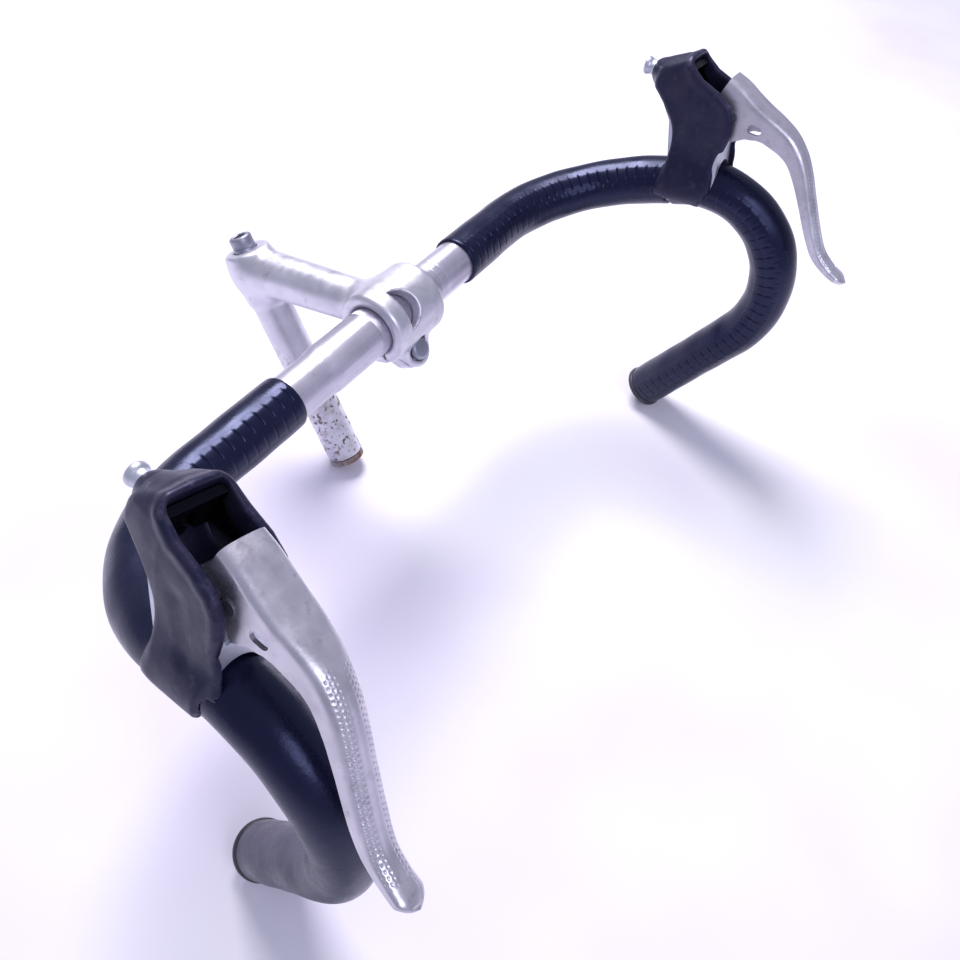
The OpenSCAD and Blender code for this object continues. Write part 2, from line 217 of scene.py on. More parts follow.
def rounded(profile, r=0.6, steps=4):
    """Rounds the inner corners of an open (radius, height) profile."""
    out = [profile[0]]
    for a, b, c in zip(profile, profile[1:], profile[2:]):
        a, b, c = (np.array(p, float) for p in (a, b, c))
        u, v = a - b, c - b
        lu, lv = np.linalg.norm(u), np.linalg.norm(v)
        k = min(r, lu * 0.45, lv * 0.45)
        p, q = b + u / lu * k, b + v / lv * k
        for t in np.linspace(0, 1, steps + 1):
            out.append(tuple((1 - t) ** 2 * p + 2 * t * (1 - t) * b + t * t * q))
    return out + [profile[-1]]


# ---- implicit solids ----
def smooth_join(a, b, k):
    h = np.clip(0.5 + 0.5 * (b - a) / k, 0, 1)
    return b * (1 - h) + a * h - k * h * (1 - h)


def smooth_cut(a, b, k):
    return -smooth_join(-a, b, k)


def capsule(p, a, b, r0, r1=None):
    a, b = np.array(a, float), np.array(b, float)
    h = np.clip((p - a) @ (b - a) / ((b - a) @ (b - a)), 0, 1)
    return np.linalg.norm(p - a - h[:, None] * (b - a), axis=1) - (r0 + ((r1 or r0) - r0) * h)


def rod(p, a, b, r, edge=0.8):
    """Flat-ended cylinder with a rounded edge."""
    a, b = np.array(a, float), np.array(b, float)
    n = np.linalg.norm(b - a)
    d = (b - a) / n
    t = (p - a) @ d
    q = np.linalg.norm(p - a - t[:, None] * d, axis=1) - r + edge
    w = np.abs(t - n / 2) - n / 2 + edge
    return np.minimum(np.maximum(q, w), 0) + np.hypot(np.maximum(q, 0), np.maximum(w, 0)) - edge


def block(p, half, edge):
    q = np.abs(p) - np.array(half) + edge
    return np.minimum(q.max(1), 0) + np.linalg.norm(np.maximum(q, 0), axis=1) - edge


def smooth_outline(points, steps=6):
    """Closed curve through the points."""
    p = np.array(points, float)
    out = []
    for i in range(len(p)):
        a, b, c, d = p[i - 1], p[i], p[(i + 1) % len(p)], p[(i + 2) % len(p)]
        for t in np.arange(steps) / steps:
            out.append(0.5 * (2 * b + (c - a) * t + (2 * a - 5 * b + 4 * c - d) * t * t
                              + (3 * b - a - 3 * c + d) * t ** 3))
    return np.array(out)


class Outline:
    """Signed distance to a closed outline in the x-z plane, kept on a fine grid."""

    def __init__(self, points, steps=6, cell=0.5, margin=14.0):
        poly = smooth_outline(points, steps)
        self.lo = poly.min(0) - margin
        self.cell = cell
        self.n = np.ceil((poly.max(0) + margin - self.lo) / cell).astype(int) + 1
        gx, gz = np.meshgrid(*(self.lo[i] + np.arange(self.n[i]) * cell for i in (0, 1)), indexing="ij")
        q = np.stack([gx.ravel(), gz.ravel()], 1)
        best, inside = np.full(len(q), 1e9), np.zeros(len(q), bool)
        for a, b in zip(poly, np.roll(poly, -1, 0)):
            e, w = b - a, q - a
            t = np.clip(w @ e / max(e @ e, 1e-9), 0, 1)
            best = np.minimum(best, ((w - t[:, None] * e) ** 2).sum(1))
            cross = (a[1] > q[:, 1]) != (b[1] > q[:, 1])
            if b[1] != a[1]:
                inside ^= cross & (q[:, 0] < (b[0] - a[0]) * (q[:, 1] - a[1]) / (b[1] - a[1]) + a[0])
        self.d = (np.sqrt(best) * np.where(inside, -1, 1)).reshape(self.n)

    def __call__(self, x, z):
        u = np.clip((x - self.lo[0]) / self.cell, 0, self.n[0] - 1.001)
        v = np.clip((z - self.lo[1]) / self.cell, 0, self.n[1] - 1.001)
        i, j = u.astype(int), v.astype(int)
        u, v, d = u - i, v - j, self.d
        return ((d[i, j] * (1 - u) + d[i + 1, j] * u) * (1 - v)
                + (d[i, j + 1] * (1 - u) + d[i + 1, j + 1] * u) * v)


def slab(outline, p, half, edge):
    """An outline given a thickness across y, edges rounded."""
    q, w = outline(p[:, 0], p[:, 2]) + edge, np.abs(p[:, 1]) - half + edge
    return np.minimum(np.maximum(q, w), 0) + np.hypot(np.maximum(q, 0), np.maximum(w, 0)) - edge


def solid_mesh(f, lo, hi, step):
    """Quads on the zero surface of f, one vertex per crossed cell, settled onto the surface."""
    axes = [np.arange(lo[i], hi[i] + step, step) for i in range(3)]
    grid = np.stack(np.meshgrid(*axes, indexing="ij"), -1)
    shape = grid.shape[:3]
    flat = grid.reshape(-1, 3)
    v = np.concatenate([f(flat[i:i + 200000]) for i in range(0, len(flat), 200000)]).reshape(shape)
    neg = v < 0
    total, count = np.zeros(tuple(n - 1 for n in shape) + (3,)), np.zeros(tuple(n - 1 for n in shape))
    crossings = []
    for ax in range(3):
        a = [slice(None)] * 3
        b = [slice(None)] * 3
        a[ax], b[ax] = slice(0, -1), slice(1, None)
        a, b = tuple(a), tuple(b)
        hit = neg[a] != neg[b]
        idx = np.argwhere(hit)
        va, vb = v[a][hit], v[b][hit]
        at = grid[a][hit] + (va / (va - vb))[:, None] * (grid[b][hit] - grid[a][hit])
        others = [i for i in range(3) if i != ax]
        for du in (-1, 0):
            for dv in (-1, 0):
                c = idx.copy()
                c[:, others[0]] += du
                c[:, others[1]] += dv
                ok = np.all((c >= 0) & (c < np.array(count.shape)), 1)
                np.add.at(total, tuple(c[ok].T), at[ok])
                np.add.at(count, tuple(c[ok].T), 1)
        crossings.append((ax, others, idx, neg[a][hit]))
    used = count > 0
    number = np.full(count.shape, -1)
    number[used] = np.arange(used.sum())
    verts = total[used] / count[used][:, None]
    quads = []
    for ax, (u, w), idx, starts_in in crossings:
        cells = []
        for du, dw in ((-1, -1), (0, -1), (0, 0), (-1, 0)):
            c = idx.copy()
            c[:, u] += du
            c[:, w] += dw
            cells.append(number[tuple(np.clip(c, 0, np.array(count.shape) - 1).T)])
        q = np.stack(cells, 1)
        flip = starts_in if ax != 1 else ~starts_in
        q[~flip] = q[~flip][:, ::-1]
        quads.append(q)
    e = step * 0.2
    for _ in range(3):
        g = np.stack([f(verts + d) - f(verts - d) for d in np.eye(3) * e], 1) / (2 * e)
        go = -f(verts)[:, None] * g / np.maximum((g ** 2).sum(1), 0.05)[:, None]
        size = np.linalg.norm(go, axis=1, keepdims=True)
        verts = verts + go * np.minimum(1, step * 0.35 / np.maximum(size, 1e-9))
    return verts, np.vstack(quads).tolist()


# ---- materials ----
class Paint:
    """A node material under construction, textured in the part's frame.

    Noise scales are per metre; bump depths are in metres.
    """

    def __init__(self, name, base, rough, metal=0.0, coat=0.0, sheen=(1, 1, 1)):
        self.mat = bpy.data.materials.new(name)
        self.mat.use_nodes = True
        self.nodes, self.links = self.mat.node_tree.nodes, self.mat.node_tree.links
        self.bsdf = self.nodes["Principled BSDF"]
        self.bsdf.inputs["Base Color"].default_value = (*base, 1)
        self.bsdf.inputs["Roughness"].default_value = rough
        self.bsdf.inputs["Metallic"].default_value = metal
        self.bsdf.inputs["Coat Weight"].default_value = coat
        self.bsdf.inputs["Specular Tint"].default_value = (*sheen, 1)
        self.bsdf.inputs["Coat Roughness"].default_value = 0.25
        self.coord = self.nodes.new("ShaderNodeTexCoord").outputs["Object"]
        self.base, self.color, self.height = base, None, None

    def mapped(self, scale):
        node = self.nodes.new("ShaderNodeMapping")
        node.inputs["Scale"].default_value = scale
        self.links.new(self.coord, node.inputs["Vector"])
        return node.outputs["Vector"]

    def noise(self, scale, detail=4.0, stretch=(1, 1, 1), rough=0.6):
        node = self.nodes.new("ShaderNodeTexNoise")
        node.inputs["Scale"].default_value = scale
        node.inputs["Detail"].default_value = detail
        node.inputs["Roughness"].default_value = rough
        self.links.new(self.mapped(stretch), node.inputs["Vector"])
        return node.outputs["Fac"]

    def ramp(self, value, low, high, lo=0.0, hi=1.0):
        """value from low to high, stretched to lo to hi and clamped."""
        node = self.nodes.new("ShaderNodeMapRange")
        for key, v in (("From Min", low), ("From Max", high), ("To Min", lo), ("To Max", hi)):
            node.inputs[key].default_value = v
        self.links.new(value, node.inputs["Value"])
        return node.outputs["Result"]

    def math(self, op, a, b):
        node = self.nodes.new("ShaderNodeMath")
        node.operation = op
        for i, v in enumerate((a, b)):
            if isinstance(v, (int, float)):
                node.inputs[i].default_value = v
            else:
                self.links.new(v, node.inputs[i])
        return node.outputs[0]

    def axis(self, which):
        node = self.nodes.new("ShaderNodeSeparateXYZ")
        self.links.new(self.coord, node.inputs[0])
        return node.outputs[which]

    def up_facing(self):
        """How far the surface faces upwards, where dust settles."""
        node = self.nodes.new("ShaderNodeNewGeometry")
        split = self.nodes.new("ShaderNodeSeparateXYZ")
        self.links.new(node.outputs["Normal"], split.inputs[0])
        return split.outputs["Z"]

    def tint(self, factor, color):
        """Mixes color over what is there already, as much as factor says."""
        node = self.nodes.new("ShaderNodeMix")
        node.data_type = "RGBA"
        node.inputs[6].default_value = (*self.base, 1)
        node.inputs[7].default_value = (*color, 1)
        if self.color is not None:
            self.links.new(self.color, node.inputs[6])
        self.links.new(factor, node.inputs[0])
        self.color = node.outputs[2]
        return self

    def vary_rough(self, value, low, high):
        """Roughness that wanders between low and high with a noise."""
        self.links.new(self.ramp(value, 0.3, 0.7, low, high), self.bsdf.inputs["Roughness"])
        return self

    def bump(self, value, depth, strength=1.0):
        node = self.nodes.new("ShaderNodeBump")
        node.inputs["Distance"].default_value = depth
        node.inputs["Strength"].default_value = strength
        self.links.new(value, node.inputs["Height"])
        if self.height is not None:
            self.links.new(self.height, node.inputs["Normal"])
        self.height = node.outputs["Normal"]
        return self

    def done(self):
        if self.color is not None:
            self.links.new(self.color, self.bsdf.inputs["Base Color"])
        if self.height is not None:
            self.links.new(self.height, self.bsdf.inputs["Normal"])
        return self.mat


def alloy(name, base, rough, stretch=(1, 1, 1), scuffs=0.5, metal=0.9):
    p = Paint(name, base, rough, metal)
    p.tint(p.ramp(p.noise(38, 5), 0.42, 0.68, 0, 0.5), tuple(c * 0.72 for c in base))
    p.tint(p.ramp(p.noise(160, 6), 0.60, 0.70, 0, 0.55 * scuffs), (0.24, 0.23, 0.27))
    p.tint(p.ramp(p.noise(24, 3, (1, 1, 1)), 0.56, 0.72, 0, 0.4), (0.86, 0.86, 0.92))
    p.vary_rough(p.noise(120, 5, stretch), rough - 0.09, rough + 0.14)
    p.bump(p.noise(1500, 3, stretch), 0.00006, 0.5)
    p.bump(p.noise(260, 5), 0.0002, 0.35)
    return p


def make_materials():
    stem = alloy("Stem_satin_alloy", (0.72, 0.71, 0.78), 0.40, scuffs=0.55)
    low = stem.ramp(stem.axis("Z"), 0.045, 0.075, 1, 0)
    pits = stem.math("MULTIPLY", stem.ramp(stem.noise(330, 4), 0.55, 0.63), low)
    stem.tint(pits, (0.16, 0.13, 0.12))
    blotch = stem.math("MULTIPLY", stem.ramp(stem.noise(90, 5), 0.52, 0.66, 0, 0.7), low)
    stem.tint(blotch, (0.42, 0.37, 0.34))
    stem.bump(pits, -0.0005, 0.8)
    bar = alloy("Bar_brushed_alloy", (0.66, 0.63, 0.72), 0.32, (1, 0.04, 1), 0.5)
    bar.tint(bar.ramp(bar.noise(700, 3, (1, 0.03, 1)), 0.5, 0.75, 0, 0.45), (0.42, 0.40, 0.48))
    lever = alloy("Lever_worn_alloy", (0.66, 0.64, 0.70), 0.33, (1, 1, 1), 0.7)
    lever.tint(lever.ramp(lever.noise(70, 6), 0.55, 0.66, 0, 0.5), (0.45, 0.43, 0.50))
    body = alloy("Body_satin_alloy", (0.62, 0.64, 0.72), 0.42, scuffs=0.5)
    bracket = alloy("Bracket_alloy_painted_shade_top", (0.60, 0.62, 0.70), 0.42, scuffs=0.6)
    # painted shade: above this height the bracket sits inside the hood and is painted near-black
    bracket.tint(bracket.ramp(bracket.axis("Z"), 0.196, 0.203), (0.008, 0.008, 0.014))
    steel = alloy("Bolt_dull_steel", (0.34, 0.35, 0.42), 0.40, scuffs=0.9)
    cone = alloy("Cone_rusty_steel", (0.34, 0.31, 0.30), 0.55, scuffs=1.0)
    cone.tint(cone.ramp(cone.noise(220, 5), 0.42, 0.6, 0, 0.8), (0.20, 0.10, 0.06))
    sleeve = Paint("Sleeve_black_rubber", (0.004, 0.005, 0.020), 0.22, sheen=(0.50, 0.56, 1.0))
    sleeve.tint(sleeve.ramp(sleeve.noise(55, 5), 0.5, 0.75, 0, 0.6), (0.010, 0.010, 0.032))
    # painted floor light: the rubber is made lighter grey towards the bottom, fading out by a height of 7
    # cm
    sleeve.tint(sleeve.ramp(sleeve.axis("Z"), 0.0, 0.07, 0.7, 0), (0.035, 0.033, 0.048))
    sleeve.vary_rough(sleeve.noise(70, 5), 0.2, 0.38)
    sleeve.bump(sleeve.noise(900, 4), 0.00012, 0.5)
    sleeve.bump(sleeve.noise(150, 3), 0.0004, 0.3)
    hood = Paint("Hood_matte_rubber", (0.008, 0.008, 0.026), 0.38, sheen=(0.58, 0.60, 1.0))
    hood.tint(hood.ramp(hood.noise(60, 6), 0.45, 0.7, 0, 0.75), (0.026, 0.024, 0.042))
    hood.tint(hood.math("MULTIPLY", hood.ramp(hood.noise(170, 6), 0.55, 0.7, 0, 0.6),
                        hood.ramp(hood.up_facing(), -0.2, 0.9)), (0.09, 0.082, 0.11))
    hood.vary_rough(hood.noise(80, 4), 0.32, 0.5)
    hood.bump(hood.noise(1100, 4), 0.00012, 0.6)
    hood.bump(hood.noise(130, 4), 0.0004, 0.4)
    plug = Paint("Plug_dull_plastic", (0.030, 0.030, 0.042), 0.48)
    plug.tint(plug.ramp(plug.noise(120, 6), 0.45, 0.7, 0, 0.8), (0.085, 0.08, 0.095))
    plug.bump(plug.noise(800, 4), 0.00015, 0.6)
    paints = dict(stem=stem, bar=bar, lever=lever, body=body, bracket=bracket, steel=steel, cone=cone,
                  sleeve=sleeve, hood=hood, plug=plug)
    return {name: paint.done() for name, paint in paints.items()}


MATERIALS = make_materials()
ROOT = "handlebar_and_stem"


# ---- stem ----
def stem_solid(p):
    s = shift_points(p, np.linalg.inv(IN_STEM))
    c = shift_points(p, np.linalg.inv(IN_CLAMP))
    split = shift_points(p, np.linalg.inv(IN_SPLIT))
    quill = rod(s, (0, 0, -QUILL_LEN), (0, 0, 14), QUILL_R, 0.5)
    collar = rod(s, (0, 0, -COLLAR_DOWN), (0, 0, STEM_TOP + 2), QUILL_R + 1.2, 3.0)
    # the collar's top front runs level with the extension's top line
    across = (math.cos(math.radians(STEM_ANGLE)), math.sin(math.radians(STEM_ANGLE)))
    collar = smooth_cut(collar, EXTENSION_R - s[:, 0] * across[0] - s[:, 2] * across[1], 2.0)
    arm = capsule(c, (-REACH, 0, 0), (-14, 0, 0), EXTENSION_R, EXTENSION_END_R)
    body = smooth_join(smooth_join(quill, collar, 3.0), arm, 7.0)
    barrel = rod(c, (0, -CLAMP_HALF, 0), (0, CLAMP_HALF, 0), CLAMP_R, 3.2)
    lug = smooth_join(rod(split, (0, 0, -9.5), (0, 0, LUG_TOP), LUG_R, 1.8),
                      block(split - np.array([-5, 0, -3.0]), (6.5, 11.0, 6.5), 3.0), 3.0)
    body = smooth_join(smooth_join(body, barrel, 9.0), lug, 5.0)
    # flat top round the bolt, its well, the bore with bevelled mouths
    body = smooth_cut(body, STEM_TOP - s[:, 2], 2.0)
    body = smooth_cut(body, rod(s, (0, 0, HEAD_BASE - 5), (0, 0, 30), 7.0, 0.2), 0.5)
    bore = np.hypot(c[:, 0], c[:, 2])
    mouth = bore - (BORE_R + 0.1 + np.maximum(np.abs(c[:, 1]) - CLAMP_HALF + 1.6, 0))
    body = smooth_cut(body, mouth, 0.5)
    # split, bolt seat and the D-shaped window
    slit = block(split, (12, 40, 0.9), 0.1)
    body = smooth_cut(body, slit, 0.6)
    body = smooth_cut(body, rod(split, (0, 0, 1.5), (0, 0, 16), 6.7, 0.2), 0.6)
    w = shift_points(p, np.linalg.inv(IN_CLAMP @ turn((0, 1, 0), WINDOW_A)))
    dee = (np.hypot(w[:, 2] / 11.0, (w[:, 1] - WINDOW_Y) / 9.8) - 1) * 9.8
    dee = np.maximum(dee, WINDOW_Y - w[:, 1])
    dee = np.maximum(dee, 8 - w[:, 0])
    return smooth_cut(body, dee, 1.3)


def socket_head(r, h, flats, deep, count=48):
    """Bolt head with a hexagon socket: base at z = 0."""
    a = np.arange(count) * 2 * math.pi / count
    hexagon = flats / 2 / np.cos((a + math.pi / 6) % (math.pi / 3) - math.pi / 6)
    rings = [(np.full(count, q), z) for q, z in
             ((r - 0.5, 0), (r, 0.5), (r, h * 0.32), (r - 0.25, h * 0.36), (r, h * 0.4), (r, h - 1.2),
              (r - 0.35, h - 0.4), (r - 1.1, h))]
    rings += [(hexagon + 0.35, h), (hexagon, h - 0.35), (hexagon, h - deep),
              (hexagon * 0.3, h - deep - 0.8)]
    verts = [np.stack([q * np.cos(a), q * np.sin(a), np.full(count, z)], 1) for q, z in rings]
    faces = grid_faces(len(rings), count)
    last = (len(rings) - 1) * count
    faces += [tuple(range(count - 1, -1, -1)), tuple(last + i for i in range(count))]
    return np.vstack(verts), faces


def build_stem():
    lo, hi = np.array([-90.0, -23.0, -9.0]), np.array([66.0, 23.0, 162.0])
    verts, faces = solid_mesh(stem_solid, lo, hi, 1.0)
    make_piece("stem_body", verts, faces, ROOT, material=MATERIALS["stem"], replaced=("stem",),
               sharp=50)
    verts, faces = socket_head(6.5, HEAD_H, 6.9, 5)
    shank = rounded([(4.0, -QUILL_LEN - HEAD_BASE - 2), (4.0, 0.3)], 0.3)
    v2, f2 = lathe(shank)
    faces = faces + [tuple(i + len(verts) for i in f) for f in f2]
    make_piece("expander_bolt_head", np.vstack([verts, v2]), faces, "expander_bolt",
               IN_STEM @ move(z=HEAD_BASE),
               MATERIALS["steel"], ("expander_bolt",))
    dome = rounded([(2.9, -13), (2.9, 0.2), (6.0, 0.2), (6.1, 3.0), (4.9, 4.2), (0.05, 4.7)], 0.8)
    verts, faces = lathe(dome)
    make_piece("clamp_bolt_head", verts, faces, ROOT, IN_SPLIT @ move(z=3.2), MATERIALS["steel"],
               ("clamp_bolt",))


# ---- bar ----
def build_bare_bar():
    count = 216
    angles = np.arange(count) * 2 * math.pi / count
    ys = np.concatenate([np.arange(-69, -10, 1.5), np.arange(-10, -1, 0.3), np.arange(-1, 20, 0.45),
                         np.arange(20, 40, 1.0), np.arange(40, 58, 0.3), np.arange(58, 78, 1.5)])
    rows = []
    for y in ys:
        swell = np.clip((46 - abs(y)) / 8, 0, 1)
        r = BAR_R + 0.12 + (1.0 - 0.12) * swell * swell * (3 - 2 * swell)
        row = np.full(count, r)
        if -9 < y < 19:
            knurl = np.cos(angles * 54 + y * 3.6) * np.cos(angles * 54 - y * 3.6)
            row += 0.26 * np.clip(knurl, -1, 1) * np.clip((y + 9) / 1.5, 0, 1)
        for line in (47.5, 52.5):
            row -= 0.22 * math.exp(-((y - line) / 0.35) ** 2)
        # die line left along the front of the tube
        off_line = (angles + 0.35 + math.pi) % (2 * math.pi) - math.pi
        row += 0.18 * np.exp(-(off_line / 0.05) ** 2) * (y < -9)
        rows.append(row)
    inner = [np.full(count, BAR_R - 0.4)] * 2
    stations = np.concatenate([ys, [ys[-1], ys[0]]])
    radii = np.array(rows + inner)
    verts = np.vstack([np.stack([q * np.cos(angles), np.full(count, y), q * np.sin(angles)], 1)
                       for y, q in zip(stations, radii)])
    faces = [tuple(reversed(f)) for f in grid_faces(len(stations), count, wrap_rows=True)]
    make_piece("bare_bar_skin", verts, faces, ROOT, IN_BAR, MATERIALS["bar"], ("centre_sleeve",),
               60)


def grooves(s, angles, centre, half, pitch, brick):
    """Depth of the moulded cross cuts at distance s along a sleeve."""
    off = (angles - centre + math.pi) % (2 * math.pi) - math.pi
    edge = math.radians(4)

    def within(lo, hi):
        return np.clip((off - lo) / edge + 0.5, 0, 1) * np.clip((hi - off) / edge + 0.5, 0, 1)

    def cut(at):
        return math.exp(-(((s - at + pitch / 2) % pitch - pitch / 2) / 0.36) ** 2)

    line = np.exp(-(off / 0.045) ** 2)
    if brick:
        cross = np.maximum(cut(0) * within(-half, -0.05), cut(pitch / 2) * within(0.05, half))
    else:
        inner = half * 0.62
        cross = np.maximum(cut(0) * within(-inner, inner), 0.6 * cut(pitch / 2) * within(-half, -inner))
    bulge = 0.22 * within(-half, half)
    return bulge - 0.5 * np.maximum(cross, 0.75 * line)


def build_sleeve(side, part):
    count, step, pitch = 96, 0.5, 6.5
    angles = np.arange(count) * 2 * math.pi / count
    if part == "upper":
        path, start, end = UPPER + RAMP, BARE[side], length_of(UPPER) + 6
        centre, half, brick = math.radians(-22), math.radians(36), True
    else:
        twist = stretch(RAMP_START @ turn((0, 0, 1), HOOK_TURN), "line", RAMP_LEN)
        path, start, end = [twist] + LOWER, 8.0, RAMP_LEN + length_of(LOWER) - 1
        centre, half, brick = math.radians(-88), math.radians(34), False
    stations = np.arange(start, end, step)
    radii = []
    for s in stations:
        lip = min(s - start, end - s)
        row = SLEEVE_R + grooves(s, angles, centre, half, pitch, brick) * min(1, lip / 3)
        row = row - 0.5 * math.exp(-lip / 0.5) + 0.16 * math.sin(s / 11) + 0.08 * np.sin(s / 4 + 2 * angles)
        radii.append(row)
    # thickness: back along the inside of the rubber
    back = np.arange(end - 0.3, start, -9.0)
    stations = np.concatenate([stations, [end - 0.1], back, [start]])
    radii += [np.full(count, SLEEVE_R - 0.9)] + [np.full(count, BAR_R - 0.1)] * (len(back) + 1)
    verts, faces = ring_tube(path, stations, radii, angles)
    node = f"{part}_sleeve_{side}"
    make_piece(f"{node}_skin", verts, faces, ROOT, half_bar(side), MATERIALS["sleeve"], (node,),
               60)


def build_plug(side):
    stub = BAR_R - 2.3
    profile = rounded([(0.05, -9), (stub, -9), (stub, -1), (13.5, -1.0), (14.5, 0.2), (14.5, 1.9),
                       (13.0, 3.0), (9.5, 2.7), (8.6, 2.0), (0.05, 2.4)], 0.8)
    verts, faces = lathe(profile, 64)
    make_piece(f"end_plug_{side}_cap", verts, faces, ROOT, half_bar(side) @ END_START @ move(z=DROP_LEN),
               MATERIALS["plug"], (f"end_plug_{side}",))


# ---- hoods ----
# Side view of the rubber and of the room inside it, in the lever's plane
HOOD_SIDE = Outline([(-3, -3), (-3.5, 6), (-4.6, 14), (-5.6, 24), (-8.0, 33), (-13.5, 40), (-20.5, 46),
                     (-24.6, 50), (-24.6, 56), (-22.8, 61.4), (-17, 66), (-11, 69.6), (-7.6, 69.6),
                     (-5.6, 65), (1.5, 60.2), (12, 57), (19.5, 53.5), (23.4, 48), (25, 39), (24.6, 33),
                     (23.6, 27), (23.6, 19), (25.4, 12), (26, 6), (21, 1), (9, -3)], 5)
HOOD_ROOM = Outline([(-13.5, 63), (-15.5, 57), (-12.5, 48), (-5, 40), (1, 31), (8, 26.5), (17, 26.5),
                     (24, 28), (44, 20), (60, 50), (44, 86), (2, 84), (-5.5, 75), (-8.6, 67),
                     (-10.5, 64)], 4)
# Raised rim of the mouth, from the middle of the roof down one flank
RIM = [(-9.0, 0, 69.2), (-8.8, 8.5, 68.6), (-7.2, 12.8, 65.6), (0.5, 14.0, 60.6), (11.5, 14.2, 57.2),
       (19.0, 14.0, 53.0), (22.8, 13.8, 47.2), (24.0, 13.6, 39.5), (23.2, 13.2, 32.5)]


def ease(t):
    t = np.clip(t, 0, 1)
    return t * t * (3 - 2 * t)


def hood_solid(side):
    to_bar = np.linalg.inv(in_lever(side)) @ half_bar(side)
    upper_end = length_of(UPPER)
    stops = [(UPPER, upper_end - 16), (UPPER, upper_end - 7), (RAMP, 0), (RAMP, RAMP_LEN),
             (LOWER, 8), (LOWER, 16), (LOWER, 24)]
    bar_path = [shift_points([along(path, s)[:3, 3]], to_bar)[0] for path, s in stops]

    def f(p):
        z = p[:, 2]
        half = 15.2 - 1.6 * np.exp(-((z - 24) / 12.0) ** 2) + 0.7 * np.exp(-((z - 54) / 9.0) ** 2)
        half = half - 2.6 * np.clip((-p[:, 0] - 4) / 18, 0, 1) - 1.5 * np.clip((z - 62) / 8, 0, 1)
        low_front = ease((p[:, 0] - 6) / 16) * ease((36 - z) / 16)
        reach_out = p - np.stack([5.0 * ease(p[:, 1] / 8) * low_front, 0 * z, 0 * z], 1)
        d = slab(HOOD_SIDE, reach_out, half, 3.2)
        tube = np.minimum.reduce([capsule(p, a, b, 15.3) for a, b in zip(bar_path[1:5], bar_path[2:6])])
        saddle = np.maximum(np.maximum(tube, -z - 5.5), np.abs(p[:, 0] - 8.5) - 13.5)
        d = smooth_join(d, saddle, 5.0)
        q = np.stack([p[:, 0], np.abs(p[:, 1]), z], 1)
        rim = np.minimum.reduce([capsule(q, a, b, 2.5) for a, b in zip(RIM, RIM[1:])])
        d = smooth_join(d, rim, 2.6)
        snout = capsule(p, (-24, 0, 55.2), (-14, 0, 56.5), 7.6, 10.5)
        d = smooth_join(d, snout, 6.0)
        d = smooth_cut(d, slab(HOOD_ROOM, p, 12.0, 2.5), 1.6)
        # shallow hollow under the rim on each flank
        flank = capsule(q, (6, 21.2, 40), (12, 20.6, 20), 6.3)
        d = smooth_cut(d, flank, 3.0)
        bar = np.minimum.reduce([capsule(p, a, b, SLEEVE_R - 0.2) for a, b in zip(bar_path, bar_path[1:])])
        d = smooth_cut(d, bar, 0.6)
        # open back and front between the skirts
        gap = np.maximum(np.abs(p[:, 1]) - 11.3, np.maximum(np.abs(z - 24) - 13, np.abs(p[:, 0] - 8) - 30))
        return smooth_cut(d, gap, 1.2)

    return f


def build_hood(side):
    verts, faces = solid_mesh(hood_solid(side), np.array([-35.0, -20, -10]), np.array([33.0, 20, 75]), 0.85)
    make_piece(f"hood_{side}_rubber", verts, faces, ROOT, in_lever(side), MATERIALS["hood"],
               (f"hood_{side}",), 60)


# ---- levers ----
# Outer line of the blade in the lever's plane, from nose to tip
BLADE = [(14.9, 67.8), (22.5, 65.4), (31.5, 61), (40, 57.4), (48.5, 54.4), (58, 50), (66.6, 43), (74, 33.5),
         (82, 20.3), (90.5, 6.5), (98, -3.8), (106, -9.8), (112.5, -13.0), (116.4, -16.4)]
# Depth of the blade's walls and its half width, against x
DEPTH = [(14.9, 11), (22.5, 12.6), (25, 13.6), (28, 17), (31, 20.8), (34, 24), (36, 25), (38, 21.6),
         (40, 18.2), (44, 15), (48.5, 13.8), (58, 12.6), (66.6, 10.6), (74, 9.6), (82, 8.2), (91, 7.4),
         (98, 6.6), (106, 5.4), (113, 4.2), (117, 3.2)]
WIDTH = [(14.9, 9.7), (32, 10.0), (42, 9.8), (52, 8.8), (62, 7.9), (76, 7.2), (92, 7.0), (100, 6.3),
         (107, 6.2), (112, 6.4), (117, 6)]


BLADE_SHARP = 42


def table(pairs, x):
    return np.interp(x, [a for a, _ in pairs], [b for _, b in pairs])


def open_curve(points, step):
    """Evenly spaced points on a smooth curve, with their distances along it."""
    before, after = 2 * np.array(points[0]) - points[1], 2 * np.array(points[-1]) - points[-2]
    p = np.array([before, *points, after], float)
    dense = []
    for i in range(1, len(p) - 2):
        a, b, c, d = p[i - 1], p[i], p[i + 1], p[i + 2]
        for t in np.arange(40) / 40:
            dense.append(0.5 * (2 * b + (c - a) * t + (2 * a - 5 * b + 4 * c - d) * t * t
                                + (3 * b - a - 3 * c + d) * t ** 3))
    dense = np.array(dense + [p[-2]])
    s = np.concatenate([[0], np.cumsum(np.linalg.norm(np.diff(dense, axis=0), axis=1))])
    at = np.linspace(0, s[-1], int(s[-1] / step) + 1)
    return np.stack([np.interp(at, s, dense[:, i]) for i in (0, 1)], 1), at


def dimple(y, s, x):
    """Depth of the grip's rows of dimples at lateral place y."""
    if not 58 < x < 108:
        return 0
    fade = min(1, (x - 58) / 3, (108 - x) / 2)
    depth = 0.0
    for k, row in enumerate((2.7, 4.1, 5.4)):
        near = (s + (1.1 if k % 2 else 0) + 1.1) % 2.2 - 1.1
        depth = depth + 0.42 * np.exp(-((np.abs(y) - row) / 0.42) ** 2 - (near / 0.45) ** 2)
    return fade * (depth + 0.3 * np.exp(-(y / 1.5) ** 2))


